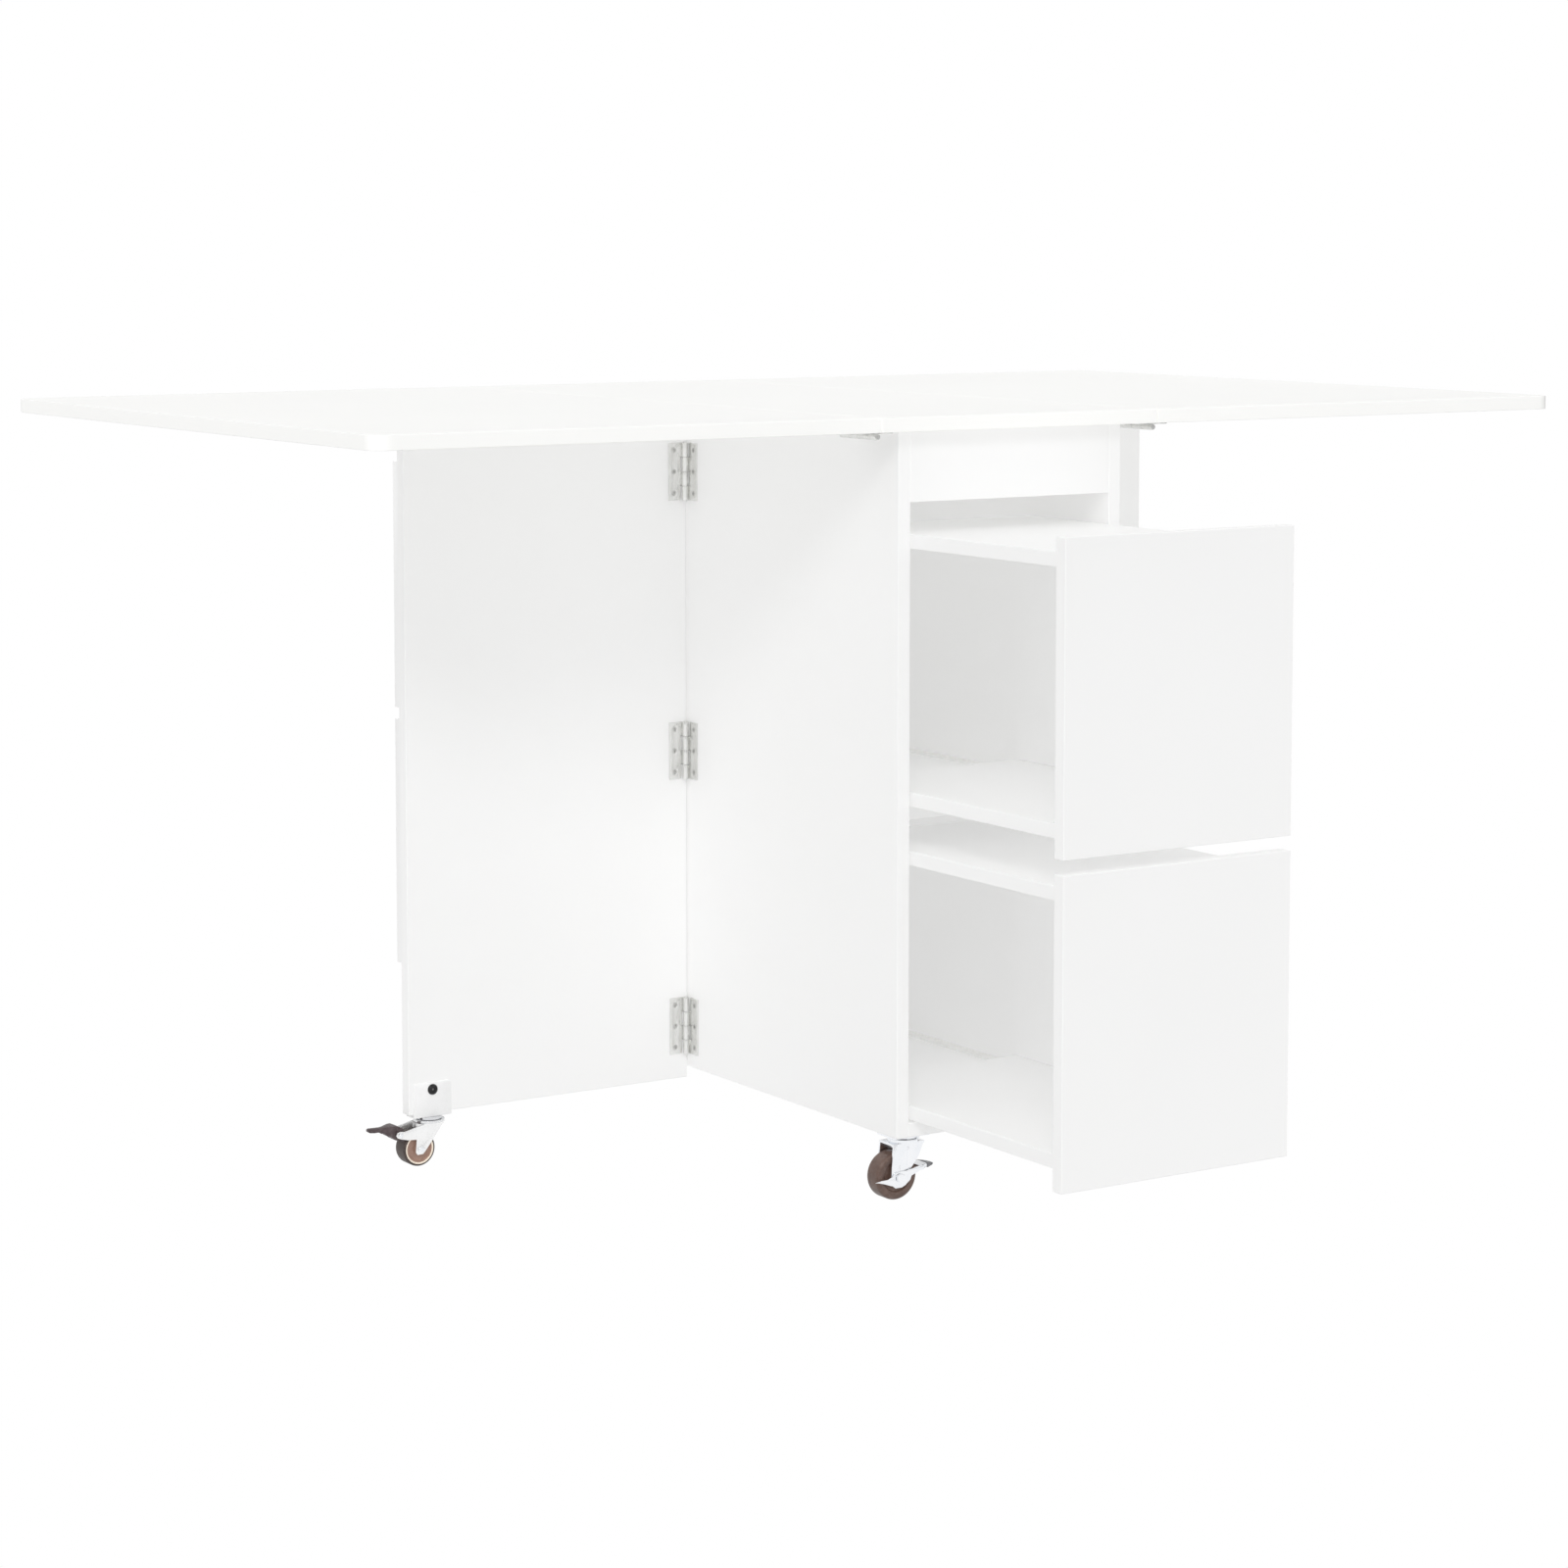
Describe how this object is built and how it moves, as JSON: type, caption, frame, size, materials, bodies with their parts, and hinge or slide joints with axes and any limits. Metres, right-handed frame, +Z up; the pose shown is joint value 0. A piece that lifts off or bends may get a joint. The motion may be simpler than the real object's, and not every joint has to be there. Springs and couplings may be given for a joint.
{
  "type": "sewing table",
  "caption": "Double-sided drop-leaf sewing table with a narrow drawer cabinet, two hinged gate legs and locking swivel casters.",
  "frame": {"origin": "on the floor under the middle of the table", "axes": "+X along the long side of the open top, to the right seen from the front; +Y towards the back; +Z up"},
  "size_m": [1.5, 1.411, 0.8185],
  "materials": {
    "white_board": "satin white melamine on 15 mm board",
    "white_metal": "white powder coat",
    "zinc_steel": "zinc plated steel sheet",
    "bright_zinc": "bright plated steel",
    "dark_tyre": "dark brown soft tyre",
    "brown_wheel": "brown solid rubber",
    "dark_plastic": "dark brown moulded plastic",
    "black_metal": "black oxide",
    "nylon": "white nylon"
  },
  "bodies": {
    "cabinet": {"apron_back": "white_board", "apron_front": "white_board", "bottom_board": "white_board", "cabinet_screws": "zinc_steel", "caster_plates": "bright_zinc", "centre_partition": "white_board", "centre_top": "white_board", "drawer_runners": "nylon", "hinge_pins": "zinc_steel", "leg_hinge_cabinet_leaves": "zinc_steel", "middle_shelves": "white_board", "side_panel_left": "white_board", "side_panel_right": "white_board", "top_hinge_centre_leaves": "zinc_steel"},
    "left_leaf": {"left_leaf_board": "white_board", "left_leaf_hinges": "zinc_steel", "left_leaf_screws": "zinc_steel"},
    "right_leaf": {"right_leaf_board": "white_board", "right_leaf_hinges": "zinc_steel", "right_leaf_screws": "zinc_steel"},
    "left_leg": {"left_leg_bracket": "white_metal", "left_leg_bracket_bolt": "black_metal", "left_leg_caster_stem": "zinc_steel", "left_leg_hinges": "zinc_steel", "left_leg_panel": "white_board", "left_leg_screws": "zinc_steel", "left_leg_support_pad": "nylon"},
    "right_leg": {"right_leg_bracket": "white_metal", "right_leg_bracket_bolt": "black_metal", "right_leg_caster_stem": "zinc_steel", "right_leg_hinges": "zinc_steel", "right_leg_panel": "white_board", "right_leg_screws": "zinc_steel", "right_leg_support_pad": "nylon"},
    "back_left_caster_swivel": {"back_left_caster_fork": "bright_zinc"},
    "back_left_caster_pedal": {"back_left_caster_pedal": "bright_zinc"},
    "back_left_caster_wheel": {"back_left_caster_wheel": "brown_wheel"},
    "back_lower_drawer": {"back_lower_drawer_box": "white_board", "back_lower_drawer_front": "white_board"},
    "back_right_caster_swivel": {"back_right_caster_fork": "bright_zinc"},
    "back_right_caster_pedal": {"back_right_caster_pedal": "bright_zinc"},
    "back_right_caster_wheel": {"back_right_caster_wheel": "brown_wheel"},
    "back_upper_drawer": {"back_upper_drawer_box": "white_board", "back_upper_drawer_front": "white_board"},
    "front_left_caster_swivel": {"front_left_caster_fork": "bright_zinc"},
    "front_left_caster_pedal": {"front_left_caster_pedal": "bright_zinc"},
    "front_left_caster_wheel": {"front_left_caster_wheel": "brown_wheel"},
    "front_lower_drawer": {"front_lower_drawer_box": "white_board", "front_lower_drawer_front": "white_board"},
    "front_right_caster_swivel": {"front_right_caster_fork": "bright_zinc"},
    "front_right_caster_pedal": {"front_right_caster_pedal": "bright_zinc"},
    "front_right_caster_wheel": {"front_right_caster_wheel": "brown_wheel"},
    "front_upper_drawer": {"front_upper_drawer_box": "white_board", "front_upper_drawer_front": "white_board"},
    "left_leg_caster_swivel": {"left_leg_caster_fork": "white_metal"},
    "left_leg_caster_pedal": {"left_leg_caster_pedal": "dark_plastic"},
    "left_leg_caster_wheel": {"left_leg_caster_wheel": "dark_tyre"},
    "right_leg_caster_swivel": {"right_leg_caster_fork": "white_metal"},
    "right_leg_caster_pedal": {"right_leg_caster_pedal": "dark_plastic"},
    "right_leg_caster_wheel": {"right_leg_caster_wheel": "dark_tyre"}
  },
  "joints": [
    {"name": "front_upper_drawer_slide", "type": "slide", "parent": "cabinet", "child": "front_upper_drawer", "axis": [0, -1, 0], "range_m": [-0.2675, 0.04]},
    {"name": "front_lower_drawer_slide", "type": "slide", "parent": "cabinet", "child": "front_lower_drawer", "axis": [0, -1, 0], "range_m": [-0.2675, 0.04]},
    {"name": "back_upper_drawer_slide", "type": "slide", "parent": "cabinet", "child": "back_upper_drawer", "axis": [0, 1, 0], "range_m": [-0.2675, 0.04]},
    {"name": "back_lower_drawer_slide", "type": "slide", "parent": "cabinet", "child": "back_lower_drawer", "axis": [0, 1, 0], "range_m": [-0.2675, 0.04]},
    {"name": "left_leaf_lift", "type": "hinge", "parent": "cabinet", "child": "left_leaf", "pos_m": [-0.177, 0, 0.799], "axis": [0, 1, 0], "range_deg": [0, 3]},
    {"name": "left_leg_fold", "type": "hinge", "parent": "cabinet", "child": "left_leg", "pos_m": [-0.1475, -0.012, 0.428], "axis": [0, 0, 1], "range_deg": [0, 90]},
    {"name": "left_leg_caster_swivel_turn", "type": "hinge", "parent": "left_leg", "child": "left_leg_caster_swivel", "pos_m": [-0.467, 0, 0.045], "axis": [0, 0, 1], "continuous": true},
    {"name": "left_leg_caster_wheel_spin", "type": "hinge", "parent": "left_leg_caster_swivel", "child": "left_leg_caster_wheel", "pos_m": [-0.484, 0, 0.019], "axis": [0, 1, 0], "continuous": true},
    {"name": "left_leg_caster_pedal_press", "type": "hinge", "parent": "left_leg_caster_swivel", "child": "left_leg_caster_pedal", "pos_m": [-0.5088, 0, 0.0375], "axis": [0, -1, 0], "range_deg": [0, 9]},
    {"name": "right_leaf_lift", "type": "hinge", "parent": "cabinet", "child": "right_leaf", "pos_m": [0.177, 0, 0.799], "axis": [0, -1, 0], "range_deg": [0, 3]},
    {"name": "right_leg_fold", "type": "hinge", "parent": "cabinet", "child": "right_leg", "pos_m": [0.1475, 0.012, 0.428], "axis": [0, 0, 1], "range_deg": [0, 90]},
    {"name": "right_leg_caster_swivel_turn", "type": "hinge", "parent": "right_leg", "child": "right_leg_caster_swivel", "pos_m": [0.467, 0, 0.045], "axis": [0, 0, 1], "continuous": true},
    {"name": "right_leg_caster_wheel_spin", "type": "hinge", "parent": "right_leg_caster_swivel", "child": "right_leg_caster_wheel", "pos_m": [0.484, 0, 0.019], "axis": [0, 1, 0], "continuous": true},
    {"name": "right_leg_caster_pedal_press", "type": "hinge", "parent": "right_leg_caster_swivel", "child": "right_leg_caster_pedal", "pos_m": [0.5088, 0, 0.0375], "axis": [0, 1, 0], "range_deg": [0, 9]},
    {"name": "front_left_caster_swivel_turn", "type": "hinge", "parent": "cabinet", "child": "front_left_caster_swivel", "pos_m": [-0.118, -0.3985, 0.06], "axis": [0, 0, 1], "continuous": true},
    {"name": "front_left_caster_wheel_spin", "type": "hinge", "parent": "front_left_caster_swivel", "child": "front_left_caster_wheel", "pos_m": [-0.133, -0.3985, 0.025], "axis": [0, 1, 0], "continuous": true},
    {"name": "front_left_caster_pedal_press", "type": "hinge", "parent": "front_left_caster_swivel", "child": "front_left_caster_pedal", "pos_m": [-0.133, -0.3985, 0.025], "axis": [0, 1, 0], "range_deg": [0, 12]},
    {"name": "front_right_caster_swivel_turn", "type": "hinge", "parent": "cabinet", "child": "front_right_caster_swivel", "pos_m": [0.118, -0.3985, 0.06], "axis": [0, 0, 1], "continuous": true},
    {"name": "front_right_caster_wheel_spin", "type": "hinge", "parent": "front_right_caster_swivel", "child": "front_right_caster_wheel", "pos_m": [0.103, -0.3985, 0.025], "axis": [0, 1, 0], "continuous": true},
    {"name": "front_right_caster_pedal_press", "type": "hinge", "parent": "front_right_caster_swivel", "child": "front_right_caster_pedal", "pos_m": [0.103, -0.3985, 0.025], "axis": [0, 1, 0], "range_deg": [0, 12]},
    {"name": "back_left_caster_swivel_turn", "type": "hinge", "parent": "cabinet", "child": "back_left_caster_swivel", "pos_m": [-0.118, 0.3985, 0.06], "axis": [0, 0, 1], "continuous": true},
    {"name": "back_left_caster_wheel_spin", "type": "hinge", "parent": "back_left_caster_swivel", "child": "back_left_caster_wheel", "pos_m": [-0.133, 0.3985, 0.025], "axis": [0, 1, 0], "continuous": true},
    {"name": "back_left_caster_pedal_press", "type": "hinge", "parent": "back_left_caster_swivel", "child": "back_left_caster_pedal", "pos_m": [-0.133, 0.3985, 0.025], "axis": [0, 1, 0], "range_deg": [0, 12]},
    {"name": "back_right_caster_swivel_turn", "type": "hinge", "parent": "cabinet", "child": "back_right_caster_swivel", "pos_m": [0.118, 0.3985, 0.06], "axis": [0, 0, 1], "continuous": true},
    {"name": "back_right_caster_wheel_spin", "type": "hinge", "parent": "back_right_caster_swivel", "child": "back_right_caster_wheel", "pos_m": [0.103, 0.3985, 0.025], "axis": [0, 1, 0], "continuous": true},
    {"name": "back_right_caster_pedal_press", "type": "hinge", "parent": "back_right_caster_swivel", "child": "back_right_caster_pedal", "pos_m": [0.103, 0.3985, 0.025], "axis": [0, 1, 0], "range_deg": [0, 12]}
  ]
}
